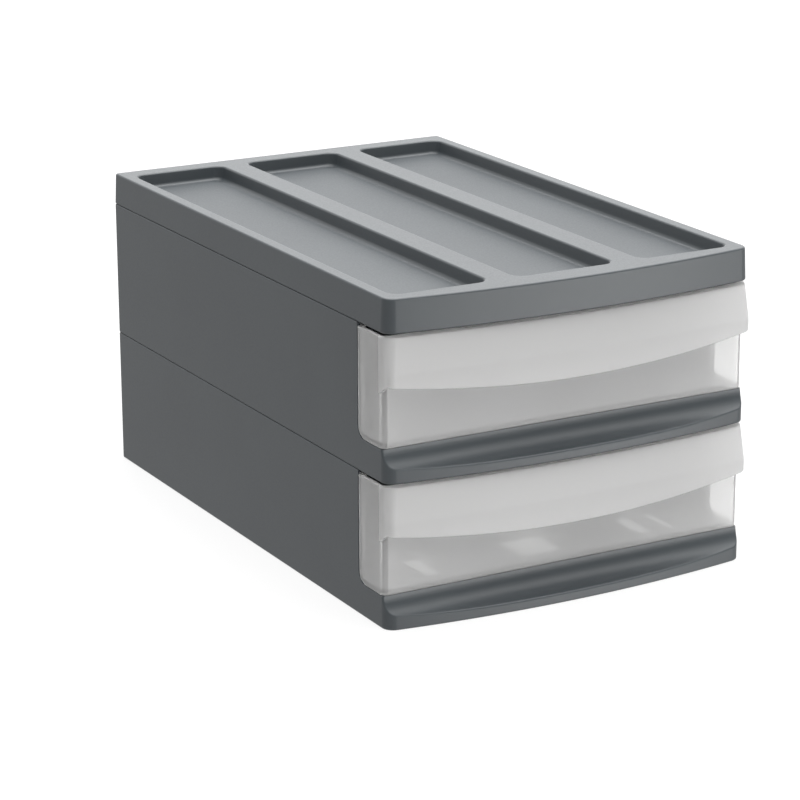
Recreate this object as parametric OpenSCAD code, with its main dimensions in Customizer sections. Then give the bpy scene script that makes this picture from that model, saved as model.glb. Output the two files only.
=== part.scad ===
// Letter tray stack: two drawer housings under a cover with pen troughs, and a drawer in each housing.
// Lengths are in millimetres. The stack stands on z = 0 and its bowed front faces -Y.

/* [Overall] */
// Width of the stack, side to side
stack_w = 255; // [225:1:300]
// Depth of the stack, from the crown of the bowed front to the rear
stack_d = 395; // [340:1:450]

/* [Plan outline] */
// Radius of the bowed front, seen from above
bow_r = 800; // [600:10:1600]
// Radius of the front corners, seen from above
front_corner_r = 8; // [5:0.5:12]
// Radius of the rear corners, seen from above
rear_corner_r = 3.5; // [3.5:0.5:8]

/* [Housing] */
// Height of one housing
housing_h = 91; // [84:1:120]
// Wall thickness of the housings and the cover
wall = 2.2; // [1.6:0.1:2.4]
// Height of the front lip and of the sills under the side cut-outs
lip_h = 20.5; // [19:0.5:24]
// Height of the deck's upper face
deck_h = 16; // [12:0.5:17]
// Thickness of the deck
deck_t = 2; // [1.5:0.1:3]
// How far the side cut-outs reach back from the crown of the front
cutout_d = 45; // [38:1:70]
// Radius at the lower rear corner of each side cut-out
cutout_r = 8; // [4:0.5:14]
// Radius of the scoop that hollows the front lip
scoop_r = 15; // [12:0.5:16]
// Height of the scoop's axis above the top of the lip
scoop_axis_rise = 1; // [0.5:0.1:2]
// Radius that rounds off both ends of the scoop
scoop_end_r = 10; // [4:0.5:12]
// Distance from each side of the stack to the end of the scoop
scoop_margin = 5.5; // [4:0.5:20]
// Distance from each side of the stack to the inner edge of the rail there
rail_reach = 25.5; // [20:0.5:30]
// How far the middle of the rear wall lies behind its top and bottom bands
rear_recess = 1.5; // [0.5:0.1:2.5]
// Height of the band along the bottom of the rear wall
rear_band_low = 13; // [8:1:20]
// Height of the band along the top of the rear wall
rear_band_top = 12; // [8:1:20]

/* [Deck windows] */
// Distance from the crown of the front to the windows
window_setback = 42; // [35:1:80]
// Length of the windows, front to back
window_len = 32; // [15:1:60]
// Width of the middle window
middle_window_w = 31; // [10:1:60]
// Distance from each rail to the slot beside it
rail_slot_gap = 1; // [0.5:0.5:6]
// Width of the slot beside each rail
rail_slot_w = 7.5; // [4:0.5:10]
// Width of the next slot towards the middle
inner_slot_w = 12.5; // [6:0.5:20]
// Width of the bar between those two slots
slot_bar_w = 10; // [4:0.5:16]

/* [Seams] */
// Chamfer along the lower outer edge of each housing and the cover
lower_chamfer = 0.8; // [0.4:0.1:1.2]
// Chamfer along the upper outer edge of each housing
upper_chamfer = 0.5; // [0.3:0.1:1]
// Length of the tabs that keep one piece in line on the next
tab_len = 40; // [20:1:60]
// Thickness of those tabs
tab_t = 1.8; // [1.2:0.1:2.5]
// How far the tabs stand up into the piece above
tab_rise = 4; // [2:0.5:8]

/* [Cover] */
// Height of the cover
cover_h = 21; // [18:0.5:30]
// How far the cover's sides lean in over its height
cover_draft = 0.9; // [0.4:0.1:1]
// Width of the soft edge around the top of the cover
cover_edge = 0.8; // [0.4:0.1:1.2]
// Depth of the troughs
trough_depth = 9.4; // [6:0.1:12]
// Width of the middle trough at its rim
middle_trough_w = 69.4; // [50:0.1:90]
// Width of the ridges between the troughs
ridge_w = 18.2; // [12:0.1:26]
// Width of the rim outside the outer troughs
trough_rim_side = 9.3; // [7:0.1:14]
// Width of the rim in front of the troughs, at the crown of the front
trough_rim_front = 19; // [16:0.5:30]
// Width of the rim behind the troughs
trough_rim_rear = 14.5; // [8:0.5:24]
// Radius of the trough corners at the rim
trough_corner_r = 8; // [6:0.5:12]
// How far the trough walls lean in from rim to floor
trough_draft = 2; // [1:0.1:3]
// Size of the soft edge around each trough's rim
trough_edge = 0.8; // [0.3:0.1:1.2]
// Size of the soft corner between each trough's walls and floor
trough_foot = 2; // [1:0.1:2.5]

/* [Drawer] */
// Wall thickness of the drawers
drawer_wall = 2; // [1.6:0.1:2.6]
// Gap between a drawer's rim and the piece above
drawer_top_gap = 2.1; // [1.9:0.1:3]
// Height of the drawer floor's upper face above the lip
floor_rise = 3.5; // [3:0.1:6]
// Distance from the crown of the front to the clear front panel
panel_setback = 15; // [13:0.5:16]
// Radius of the upright corners of the front panel
panel_corner_r = 3; // [2:0.5:5]
// Gap between a drawer and the rear wall of its housing
drawer_rear_gap = 5.3; // [3:0.1:12]
// Radius of the drawer's rear corners
drawer_rear_r = 5; // [3:0.5:12]
// How far a drawer slides out before its stops meet the lip
drawer_travel = 294; // [150:1:300]

/* [Handle] */
// Height of the handle at its middle
handle_h = 38.4; // [28:0.1:42]
// Radius of the handle's lower edge, seen from the front
handle_edge_r = 880; // [700:10:1600]
// Radius of the handle's bowed face, seen from above
handle_bow_r = 1160; // [900:10:2000]
// Height of the upper part of the handle's face, which leans back
lean_h = 21.4; // [12:0.1:24]
// How far that part leans back at the top
lean_d = 3.4; // [1:0.1:3.6]
// Radius of the handle's corners below the crease in its face
handle_low_r = 5; // [4:0.5:6]
// Radius of the handle's corners at its top
handle_top_r = 8; // [6.5:0.5:9]
// Radius of the curl where each side runs forward into the handle
curl_r = 6.5; // [4:0.5:7]

/* [Running gaps] */
// Gap under a drawer's edges and runners
slide_gap = 0.3; // [0.3:0.05:0.5]
// Gap beside a drawer inside its housing, and behind its front part
side_gap = 0.5; // [0.4:0.1:0.8]
// Gap around the tabs that keep the pieces in line
tab_gap = 0.3; // [0.2:0.05:0.5]

/* [Hidden] */

// Segments of small and of very large round surfaces, and of the corners and bow of a blended form
$fn = 64;
bow_fn = 1440;
hull_fn = 32;
blend_fn = 360;

// Thickness of the slices that a blended form runs through
slice_t = 0.01;

// Overrun of every cut past the surface that it opens
over = 1;

// Half width, crown of the front and rear face
half_w = stack_w / 2;
crown_y = -stack_d / 2;
rear_y = stack_d / 2;

// Centres of the bowed front and of the corners, seen from above
bow_y = crown_y + bow_r;
front_corner_x = half_w - front_corner_r;
front_corner_y = bow_y - sqrt(pow(bow_r - front_corner_r, 2) - pow(front_corner_x, 2));
tangent_x = front_corner_x * bow_r / (bow_r - front_corner_r);
bow_half_w = (front_corner_x + tangent_x) / 2;
rear_corner_x = half_w - rear_corner_r;
rear_corner_y = rear_y - rear_corner_r;

// Housing: inner faces, cut-outs, deck and rails
inner_x = half_w - wall;
inner_rear_y = rear_y - rear_recess - wall;
cutout_y = crown_y + cutout_d;
rail_x = half_w - rail_reach;
deck_low = deck_h - deck_t;

// Drawer: levels and faces
panel_y = crown_y + panel_setback;
drawer_top = housing_h - drawer_top_gap;
drawer_low = lip_h + slide_gap;
floor_top = lip_h + floor_rise;
floor_low = floor_top - drawer_wall;
drawer_x = inner_x - side_gap;
front_part_rear_y = cutout_y - side_gap;
drawer_rear_y = inner_rear_y - drawer_rear_gap;

// Lip: its rim stands just behind the face of the drawer's panel
rim_step = 0.5;
rim_front_y = panel_y + rim_step;
rim_back_y = rim_front_y + wall;
scoop_y = rim_front_y - scoop_r;
scoop_z = lip_h + scoop_axis_rise;

// Handle: lower edge at the middle and at the sides, centre of its bowed face, and back
handle_low = drawer_top - handle_h;
handle_edge_z = handle_low + handle_edge_r;
handle_side_low = handle_edge_z - sqrt(pow(handle_edge_r, 2) - pow(half_w, 2));
handle_bow_y = crown_y + handle_bow_r;
handle_back_y = panel_y + 2 * panel_corner_r;

// Runners under a drawer, and the stops that meet the lip's rim when it is pulled out
runner_t = 2;
runner_x = rail_x + runner_t;
stop_t = 3;
stop_w = 20;
stop_x = 45;
stop_clear = 1.2;
stop_y = rim_back_y + drawer_travel + slide_gap;

// Tabs on a housing's rim: their places, as shares of the depth and of the half width, and what
// they stay clear of over the drawer
side_tab_shares = [-0.2, 0.3];
rear_tab_share = 0.55;
tab_clear = 0.6;

// Troughs of the cover
trough_front_y = crown_y + trough_rim_front;
trough_rear_y = rear_y - trough_rim_rear;
middle_trough_x = middle_trough_w / 2;
side_trough_in_x = middle_trough_x + ridge_w;
side_trough_out_x = half_w - trough_rim_side;
trough_places = [
    [-middle_trough_x, middle_trough_x],
    [side_trough_in_x, side_trough_out_x],
    [-side_trough_out_x, -side_trough_in_x],
];

// Colours of the mouldings
housing_colour = [0.37, 0.39, 0.41];
drawer_colour = [0.86, 0.88, 0.89, 0.6];

// A box from one corner to the opposite one
module block(low, high) {
    translate(low)
        cube(high - low);
}

// A box that reaches equally far to both sides of the middle plane
module middle_block(reach, y, z) {
    block([-reach, y[0], z[0]], [reach, y[1], z[1]]);
}

// The same thing at both sides of the stack
module both_sides() {
    children();
    mirror([1, 0, 0])
        children();
}

// A profile seen from the side, with points [y, z], carried from x = start over a given width
module side_profile(start, width) {
    translate([start, 0, 0])
        rotate([90, 0, 90])
            linear_extrude(width)
                children();
}

// A profile seen from the front, with points [x, z], carried from one y to the other
module front_profile(y) {
    translate([0, y[1], 0])
        rotate([90, 0, 0])
            linear_extrude(y[1] - y[0])
                children();
}

// One half of an upright outline that reaches out to a given distance. Levels run from the lowest up,
// each with its height and how far the outline is drawn in there
module half_outline(reach, levels) {
    polygon([
        [0, levels[0][0]],
        for (level = levels) [reach - level[1], level[0]],
        [0, levels[len(levels) - 1][0]],
    ]);
}

// The same outline with both halves
module full_outline(reach, levels) {
    polygon([
        for (level = levels) [reach - level[1], level[0]],
        for (i = [len(levels) - 1:-1:0]) [levels[i][1] - reach, levels[i][0]],
    ]);
}

// The stack's plan outline, carried up through such levels
module plan_form(levels) {
    z = [levels[0][0] - over, levels[len(levels) - 1][0] + over];
    front_profile([front_corner_y, rear_corner_y])
        full_outline(half_w, levels);
    side_profile(-rear_corner_x, 2 * rear_corner_x)
        half_outline(rear_y, levels);
    intersection() {
        translate([0, bow_y, 0])
            rotate_extrude($fn = bow_fn)
                half_outline(bow_r, levels);
        middle_block(bow_half_w, [crown_y - over, 0], z);
    }
    both_sides() {
        translate([front_corner_x, front_corner_y, 0])
            rotate_extrude()
                half_outline(front_corner_r, levels);
        translate([rear_corner_x, rear_corner_y, 0])
            rotate_extrude()
                half_outline(rear_corner_r, levels);
    }
}

// The tabs that stand up inside the piece above, with the roots that join them to their own walls
module tabs() {
    tab_x = inner_x - tab_gap;
    tab_y = inner_rear_y - tab_gap;
    x = rear_tab_share * half_w - tab_len / 2;
    z = [drawer_top + tab_clear, housing_h + tab_rise];
    both_sides() {
        for (share = side_tab_shares) {
            y = [share * stack_d, share * stack_d + tab_len];
            block([tab_x - tab_t, y[0], z[0]], [tab_x, y[1], z[1]]);
            block([tab_x - tab_t, y[0], z[0]], [half_w - wall / 2, y[1], housing_h - upper_chamfer]);
        }
        block([x, tab_y - tab_t, z[0]], [x + tab_len, tab_y, z[1]]);
        block([x, tab_y - tab_t, z[0]], [x + tab_len, rear_y - rear_recess, housing_h - upper_chamfer]);
    }
}

// The roller that hollows the lip, grown by a given amount, with rounded ends
module scoop(grow) {
    reach = half_w - scoop_margin + grow;
    radius = scoop_r + grow;
    end_r = scoop_end_r + grow;
    translate([0, scoop_y, scoop_z])
        rotate([0, 90, 0])
            rotate_extrude() {
                translate([0, -reach])
                    square([radius - end_r, 2 * reach]);
                translate([0, end_r - reach])
                    square([radius, 2 * (reach - end_r)]);
                intersection() {
                    square([radius, reach]);
                    translate([radius - end_r, reach - end_r])
                        circle(end_r);
                }
                intersection() {
                    translate([0, -reach])
                        square([radius, reach]);
                    translate([radius - end_r, end_r - reach])
                        circle(end_r);
                }
            }
}

// The opening at the front of a housing: everything above the lip, as far back as the side cut-outs
module cutout() {
    side_profile(-half_w - over, stack_w + 2 * over) {
        translate([crown_y - over, lip_h])
            square([cutout_d + over - cutout_r, housing_h]);
        translate([crown_y - over, lip_h + cutout_r])
            square([cutout_d + over, housing_h]);
        translate([cutout_y - cutout_r, lip_h + cutout_r])
            circle(cutout_r);
    }
}

// The shallow recess between the bands at the top and bottom of the rear wall
module rear_recess_cut() {
    top = housing_h - rear_band_top;
    side_profile(-half_w - over, stack_w + 2 * over)
        polygon([
            [rear_y + over, rear_band_low - over],
            [rear_y - rear_recess, rear_band_low + rear_recess],
            [rear_y - rear_recess, top - rear_recess],
            [rear_y + over, top + over],
        ]);
}

// The windows through the deck, one in the middle and two slots towards each rail
module windows() {
    y = [crown_y + window_setback, crown_y + window_setback + window_len];
    z = [deck_low - over, deck_h + over];
    rail_slot_x = rail_x - rail_slot_gap - rail_slot_w;
    inner_slot_x = rail_slot_x - slot_bar_w - inner_slot_w;
    middle_block(middle_window_w / 2, y, z);
    both_sides() {
        block([rail_slot_x, y[0], z[0]], [rail_slot_x + rail_slot_w, y[1], z[1]]);
        block([inner_slot_x, y[0], z[0]], [inner_slot_x + inner_slot_w, y[1], z[1]]);
    }
}

// The hollow inside the walls, up to the underside of the deck
module underside() {
    intersection() {
        plan_form([[-over, wall], [deck_low, wall]]);
        middle_block(half_w, [crown_y, inner_rear_y], [-2 * over, deck_h]);
    }
}

// One housing, standing on z = 0
module housing() {
    difference() {
        plan_form([
            [0, lower_chamfer],
            [lower_chamfer, 0],
            [housing_h - upper_chamfer, 0],
            [housing_h, upper_chamfer],
        ]);
        // the bay over the deck, between the rails and above them
        middle_block(rail_x, [rim_back_y, inner_rear_y], [deck_h, housing_h + over]);
        middle_block(inner_x, [rim_back_y, inner_rear_y], [lip_h, housing_h + over]);
        // the front, open above the lip
        cutout();
        scoop(0);
        // the hollow underneath, which keeps a full wall round the scoop
        difference() {
            underside();
            scoop(wall);
        }
        // the hollow of each rail
        both_sides()
            block([rail_x + wall, rim_back_y + wall, 0], [inner_x, inner_rear_y, lip_h - wall]);
        rear_recess_cut();
        windows();
    }
    tabs();
}

// A trough between two places across the cover, from its floor up past its soft rim
module trough(x) {
    levels = [
        [cover_h - trough_depth, trough_draft + trough_foot],
        [cover_h - trough_depth + trough_foot, trough_draft],
        [cover_h - trough_edge, 0],
        [cover_h + over, -trough_edge - over],
    ];
    reach_x = (x[1] - x[0]) / 2;
    reach_y = (trough_rear_y - trough_front_y) / 2;
    corner_x = reach_x - trough_corner_r;
    corner_y = reach_y - trough_corner_r;
    translate([(x[0] + x[1]) / 2, (trough_front_y + trough_rear_y) / 2, 0]) {
        front_profile([-corner_y, corner_y])
            full_outline(reach_x, levels);
        side_profile(-corner_x, 2 * corner_x)
            full_outline(reach_y, levels);
        both_sides()
            for (end = [-1, 1])
                translate([corner_x, end * corner_y, 0])
                    rotate_extrude()
                        half_outline(trough_corner_r, levels);
    }
}

// The full-width front part of a drawer, seen from the side, with its lower rear corner rounded
module front_part_side() {
    r = cutout_r - side_gap;
    translate([panel_y + panel_corner_r, drawer_low])
        square([front_part_rear_y - panel_y - panel_corner_r - r, drawer_top - drawer_low]);
    translate([panel_y + panel_corner_r, drawer_low + r])
        square([front_part_rear_y - panel_y - panel_corner_r, drawer_top - drawer_low - r]);
    translate([front_part_rear_y - r, drawer_low + r])
        circle(r);
}

// A thin slice of the handle's form, drawn in by an inset all round but at the back
module handle_slice(z, setback, corner_r, inset) {
    x = half_w - corner_r;
    y = handle_bow_y - sqrt(pow(handle_bow_r - corner_r, 2) - pow(x, 2));
    translate([0, setback, z])
        linear_extrude(slice_t) {
            both_sides()
                translate([x, y])
                    circle(corner_r - inset, $fn = hull_fn);
            intersection() {
                translate([0, handle_bow_y])
                    circle(handle_bow_r - inset, $fn = blend_fn);
                translate([-x, crown_y])
                    square([2 * x, y - crown_y]);
            }
        }
    middle_block(half_w - inset, [y + setback, handle_back_y], [z, z + slice_t]);
}

// The handle's form, or with an inset the hollow inside it: upright below the crease, leaning above it
module handle_form(inset, low, top) {
    crease = drawer_top - lean_h;
    share = (top - crease) / lean_h;
    top_r = handle_low_r + share * (handle_top_r - handle_low_r);
    hull() {
        handle_slice(low, 0, handle_low_r, inset);
        handle_slice(crease, 0, handle_low_r, inset);
        handle_slice(top - slice_t, share * lean_d, top_r, inset);
    }
}

// What the handle's lower edge leaves free: a bowed edge under the band, and a curl at each side
module handle_edge_cut() {
    inside_w = half_w - drawer_wall;
    low = handle_low - over;
    curl_z = handle_side_low - curl_r;
    difference() {
        middle_block(inside_w, [crown_y - over, handle_back_y + over], [low, handle_side_low + over]);
        translate([0, handle_back_y + 2 * over, handle_edge_z])
            rotate([90, 0, 0])
                cylinder(h = stack_d, r = handle_edge_r, $fn = bow_fn);
    }
    both_sides()
        side_profile(inside_w, drawer_wall + over) {
            translate([crown_y - over, low])
                square([panel_y - curl_r - crown_y + over, handle_side_low - low]);
            translate([crown_y - over, low])
                square([panel_y - crown_y + over, curl_z - low]);
            translate([panel_y - curl_r, curl_z])
                circle(curl_r);
        }
}

// The handle: a bowed band with a flat top and closed ends, open behind and below
module handle() {
    difference() {
        handle_form(0, handle_low, drawer_top);
        handle_form(drawer_wall, handle_low - over, drawer_top - drawer_wall);
        handle_edge_cut();
    }
}

// The outer form of a drawer behind its panel: narrower inside the housing, full width in front
module drawer_form() {
    corner_x = drawer_x - drawer_rear_r;
    corner_y = drawer_rear_y - drawer_rear_r;
    height = drawer_top - floor_low;
    middle_block(drawer_x, [panel_y + drawer_wall, corner_y], [floor_low, drawer_top]);
    middle_block(corner_x, [0, drawer_rear_y], [floor_low, drawer_top]);
    middle_block(half_w - panel_corner_r, [panel_y, handle_back_y], [drawer_low, drawer_top]);
    side_profile(-half_w, stack_w)
        front_part_side();
    both_sides() {
        translate([corner_x, corner_y, floor_low])
            cylinder(h = height, r = drawer_rear_r);
        translate([half_w - panel_corner_r, panel_y + panel_corner_r, drawer_low])
            cylinder(h = drawer_top - drawer_low, r = panel_corner_r);
    }
}

// One drawer, in place in a housing that stands on z = 0
module drawer() {
    inside_y = panel_y + drawer_wall;
    front_inside_y = [inside_y, front_part_rear_y - drawer_wall];
    difference() {
        union() {
            drawer_form();
            handle();
        }
        // the inside, as wide as the front part and then as the housing allows
        middle_block(half_w - drawer_wall, front_inside_y, [floor_top, drawer_top + over]);
        middle_block(
            drawer_x - drawer_wall,
            [inside_y, drawer_rear_y - drawer_wall],
            [floor_top, drawer_top + over]
        );
        // the hollow under the floor of the front part
        middle_block(half_w - drawer_wall, front_inside_y, [drawer_low - over, floor_low]);
    }
    both_sides() {
        // a runner, and a stop that meets the lip's rim at full travel
        block(
            [runner_x, inside_y, drawer_low],
            [runner_x + runner_t, drawer_rear_y - drawer_rear_r, floor_low]
        );
        block(
            [stop_x - stop_w / 2, stop_y, deck_h + stop_clear],
            [stop_x + stop_w / 2, stop_y + stop_t, floor_low]
        );
    }
}

module top_cover() {
    inside_h = cover_h - wall;
    trough_low = cover_h - trough_depth - wall;
    color(housing_colour)
        translate([0, 0, 2 * housing_h])
            difference() {
                plan_form([
                    [0, lower_chamfer],
                    [lower_chamfer, 0],
                    [cover_h - cover_edge, cover_draft],
                    [cover_h, cover_draft + cover_edge],
                ]);
                // the hollow underneath, which keeps a full wall round the troughs
                difference() {
                    plan_form([
                        [-over, wall],
                        [tab_rise + tab_gap, wall],
                        [inside_h, wall + cover_draft],
                    ]);
                    middle_block(
                        side_trough_out_x + wall,
                        [trough_front_y - wall, trough_rear_y + wall],
                        [trough_low, cover_h]
                    );
                }
                for (x = trough_places)
                    trough(x);
                // the hollow of each ridge between two troughs
                both_sides()
                    block(
                        [middle_trough_x + wall, trough_front_y, trough_low - over],
                        [side_trough_in_x - wall, trough_rear_y, inside_h]
                    );
            }
}

module upper_housing() {
    color(housing_colour)
        translate([0, 0, housing_h])
            housing();
}

module lower_housing() {
    color(housing_colour)
        housing();
}

module upper_drawer() {
    color(drawer_colour)
        translate([0, 0, housing_h])
            drawer();
}

module lower_drawer() {
    color(drawer_colour)
        drawer();
}

top_cover();
upper_housing();
lower_housing();
upper_drawer();
lower_drawer();
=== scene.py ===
# %% [markdown]
# # A letter tray stack with drawers
# Two drawer housings stand on each other under a cover with pen troughs. Each housing holds a translucent
# drawer. All five pieces are injection mouldings, so every edge has a small radius, every wall is about
# 2 mm thick, and the finish is satin. The lesson makes each moulding from a few closed forms, and dresses
# them in two plastics: a dark grey one, and a milky clear one that is frosted on the handle band.

# %% Load the frame
import math

import bmesh
import bpy
import numpy as np
from mathutils import Matrix, Vector


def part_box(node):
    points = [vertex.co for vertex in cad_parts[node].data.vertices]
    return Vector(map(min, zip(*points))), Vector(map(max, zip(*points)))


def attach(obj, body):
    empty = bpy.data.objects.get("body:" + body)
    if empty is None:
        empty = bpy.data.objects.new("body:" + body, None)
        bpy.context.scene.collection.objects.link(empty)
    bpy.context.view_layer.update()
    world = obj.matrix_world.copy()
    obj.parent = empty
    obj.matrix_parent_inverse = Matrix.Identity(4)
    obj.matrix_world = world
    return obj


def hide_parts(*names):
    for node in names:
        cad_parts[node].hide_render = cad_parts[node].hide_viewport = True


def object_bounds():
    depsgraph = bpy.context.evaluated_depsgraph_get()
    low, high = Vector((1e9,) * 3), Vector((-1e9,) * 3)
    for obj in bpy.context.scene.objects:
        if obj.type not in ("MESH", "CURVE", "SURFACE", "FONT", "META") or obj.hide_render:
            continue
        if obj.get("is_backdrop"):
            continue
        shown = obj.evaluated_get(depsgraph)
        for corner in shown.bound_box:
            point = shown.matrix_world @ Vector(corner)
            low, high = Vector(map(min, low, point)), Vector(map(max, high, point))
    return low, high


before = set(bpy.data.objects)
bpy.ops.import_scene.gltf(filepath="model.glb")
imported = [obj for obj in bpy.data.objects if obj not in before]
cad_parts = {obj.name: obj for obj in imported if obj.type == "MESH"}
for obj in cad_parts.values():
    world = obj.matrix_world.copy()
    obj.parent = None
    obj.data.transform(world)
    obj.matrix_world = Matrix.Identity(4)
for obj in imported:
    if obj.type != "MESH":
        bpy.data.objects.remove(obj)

cad_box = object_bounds()
print("nodes:", ", ".join(sorted(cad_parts)))

# %% [markdown]
# ## Sizes
# Shapes are worked out in millimetres, in the frame of the CAD model: z is up, and the front looks along
# -y. The outer sizes are read from its nodes, so that the dressed pieces stay where the CAD says. The rest
# are the mouldings' own sizes. Points closer together than the weld distance count as one point.

# %% Sizes of the stack
MM = 0.001
weld = 0.01
cover_low, cover_high = (np.array(corner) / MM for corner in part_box("top_cover"))
half_w = cover_high[0]
crown_y, rear_y = cover_low[1], cover_high[1]
housing_h = cover_low[2] / 2
cover_h = cover_high[2] - cover_low[2]
wall = 2.2
bow_r = 800.0
front_corner_r, rear_corner_r = 8.0, 3.5
print(f"stack {2 * half_w:.0f} x {rear_y - crown_y:.0f} x {cover_high[2]:.0f} mm")
print(f"housing {housing_h:.0f} mm high, cover {cover_h:.0f} mm high")

# %% [markdown]
# ## How a moulded form is made
# A moulding's outline, seen from above, is made of arcs joined by straight lines. Drawing it in by a small
# inset keeps the arcs' centres and only shortens their radii. So a form with soft edges is a stack of such
# outlines: each level has a height and an inset. The level lists come from a few corner points, whose
# corners are rounded by true arcs. This gives clean quads and exact radii, where a bevel would guess.

# %% Outlines and rounded profiles
least_r = 0.1


def outline(arcs, inset=0.0):
    """A closed outline from arcs (centre x, centre y, radius, first heading, last heading, steps).

    A point lies at the centre plus (radius - inset) times (sin a, -cos a), where the heading a is 0 towards
    the front and 90 degrees towards the right. Straight sides join one arc to the next. Where the inset has
    used up the radius, the corner moves inwards along the middle line between its two sides.
    """
    runs = []
    for x, y, radius, first, last, steps in arcs:
        a = np.radians(np.linspace(first, last, steps + 1))
        away = np.column_stack([np.sin(a), -np.cos(a)])
        used = min(radius - inset - least_r, 0.0)
        shift = used * (away[0] + away[-1]) / (1 + away[0] @ away[-1])
        runs.append(np.array([x, y]) + shift + (radius - inset - used) * away)
    return np.vstack(runs)


def rectangle(x, y, radii, steps=6):
    """Arcs for a rounded rectangle from x[0] to x[1] and y[0] to y[1]; radii are (front, rear)."""
    front, rear = radii
    return [
        (x[0] + front, y[0] + front, front, -90, 0, steps),
        (x[1] - front, y[0] + front, front, 0, 90, steps),
        (x[1] - rear, y[1] - rear, rear, 90, 180, steps),
        (x[0] + rear, y[1] - rear, rear, 180, 270, steps),
    ]


def rounded(corners, radii, steps=6):
    """A polyline whose inner corners are arcs.

    An arc of radius r starts and ends r / tan(half the corner's angle) from the corner, and its centre lies
    on the corner's middle line at r / sin(half the angle). Points on it turn evenly from start to end.
    """
    p = np.array(corners, float)
    runs = [p[:1]]
    for i, r in enumerate(radii, start=1):
        if r == 0:
            runs.append(p[i:i + 1])
            continue
        to_last, to_next = p[i - 1] - p[i], p[i + 1] - p[i]
        to_last, to_next = to_last / np.linalg.norm(to_last), to_next / np.linalg.norm(to_next)
        half = 0.5 * math.acos(float(np.clip(to_last @ to_next, -1, 1)))
        middle = (to_last + to_next) / np.linalg.norm(to_last + to_next)
        centre = p[i] + middle * r / math.sin(half)
        start = p[i] + to_last * r / math.tan(half) - centre
        stop = p[i] + to_next * r / math.tan(half) - centre
        turn = math.pi - 2 * half
        t = np.linspace(0, turn, steps + 1)[:, None]
        runs.append(centre + (start * np.sin(turn - t) + stop * np.sin(t)) / math.sin(turn))
    runs.append(p[-1:])
    return np.vstack(runs)


# %% Outlines at heights
def at_height(loop, z):
    """An outline's points with their height, which is one number or a number for each point."""
    return np.column_stack([loop, np.broadcast_to(z, len(loop))])


def lift(arcs, levels):
    """A grid of points: one outline for each level (inset, height), the levels in order."""
    return np.stack([at_height(outline(arcs, inset), z) for inset, z in levels])


# %% [markdown]
# ## From grids to a mesh
# A grid becomes quads by index arithmetic. Grids that share an edge are welded, and the flat faces are
# filled between their open edges, with the holes left open. One closed skin is the result, whose faces are
# turned outwards. Area-weighted normals keep the flats flat and the small radii round.

# %% Skins
def ring_quads(rows, columns):
    """Corner indices of a grid's quads, row by row; the last point of each row is joined to its first."""
    row, column = np.meshgrid(np.arange(rows - 1), np.arange(columns), indexing="ij")
    near = (row * columns + column).ravel()
    far = (row * columns + (column + 1) % columns).ravel()
    return np.column_stack([near, far, far + columns, near + columns])


def quad_mesh(name, points, quads):
    """A mesh from rows of points in millimetres and rows of four corner indices."""
    mesh = bpy.data.meshes.new(name)
    mesh.vertices.add(len(points))
    mesh.vertices.foreach_set("co", (points * MM).astype(np.float32).ravel())
    mesh.loops.add(quads.size)
    mesh.loops.foreach_set("vertex_index", quads.astype(np.int32).ravel())
    mesh.polygons.add(len(quads))
    mesh.polygons.foreach_set("loop_start", np.arange(0, quads.size, 4, dtype=np.int32))
    mesh.update(calc_edges=True)
    return mesh


def lies_at(edge, axis, value):
    """Whether both ends of an edge have a coordinate that equals a value in millimetres."""
    return all(abs(end.co[axis] - value * MM) < weld * MM for end in edge.verts)


def skin(name, grids, flats):
    """An object from grids of points in millimetres, welded, with its flat faces filled.

    Each flat is (axis, value): it fills between the open edges that lie where that coordinate has that value.
    """
    sizes = [grid.shape[0] * grid.shape[1] for grid in grids]
    starts = np.cumsum([0, *sizes[:-1]])
    points = np.vstack([grid.reshape(-1, 3) for grid in grids])
    quads = np.vstack([ring_quads(*grid.shape[:2]) + start for grid, start in zip(grids, starts)])
    mesh = quad_mesh(name, points, quads)
    bm = bmesh.new()
    bm.from_mesh(mesh)
    bmesh.ops.remove_doubles(bm, verts=bm.verts, dist=weld * MM)
    for axis, value in flats:
        rim = [edge for edge in bm.edges if edge.is_boundary and lies_at(edge, axis, value)]
        bmesh.ops.triangle_fill(bm, edges=rim, use_beauty=True)
    bmesh.ops.recalc_face_normals(bm, faces=bm.faces)
    bm.to_mesh(mesh)
    bm.free()
    piece = bpy.data.objects.new(name, mesh)
    bpy.context.scene.collection.objects.link(piece)
    return piece


# %% Faces, shading and a report
def face_places(piece):
    """Centres in millimetres and normals of a piece's faces, one row for each face."""
    faces = piece.data.polygons
    centre, normal = np.zeros(3 * len(faces)), np.zeros(3 * len(faces))
    faces.foreach_get("center", centre)
    faces.foreach_get("normal", normal)
    return centre.reshape(-1, 3) / MM, normal.reshape(-1, 3)


def finish_edges(piece, sharp_deg=32.0):
    """Shades a moulding smooth, but for edges that turn by more than the given angle."""
    piece.data.shade_smooth()
    piece.data.set_sharp_from_angle(angle=math.radians(sharp_deg))
    even = piece.modifiers.new("even_normals", "WEIGHTED_NORMAL")
    even.keep_sharp = True


def report(piece):
    """Prints a piece's size, its face count and its open edges."""
    bm = bmesh.new()
    bm.from_mesh(piece.data)
    spare = sum(not edge.is_manifold for edge in bm.edges)
    bm.free()
    size = ", ".join(f"{length / MM:.1f}" for length in piece.dimensions)
    print(f"{piece.name}: {size} mm, {len(piece.data.polygons)} faces, {spare} open edges")


# %% [markdown]
# ## The two plastics
# The grey plastic is a dark satin moulding compound. The steel mould is lightly textured, so the surface has
# a fine grain that breaks up its gloss, and the pigment is never mixed quite evenly. The trough floors come
# from a more deeply etched part of the mould. Noise patterns on Object coordinates give all three.

# %% Material helpers
noise_low, noise_high, noise_detail = 0.3, 0.7, 2.0


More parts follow.
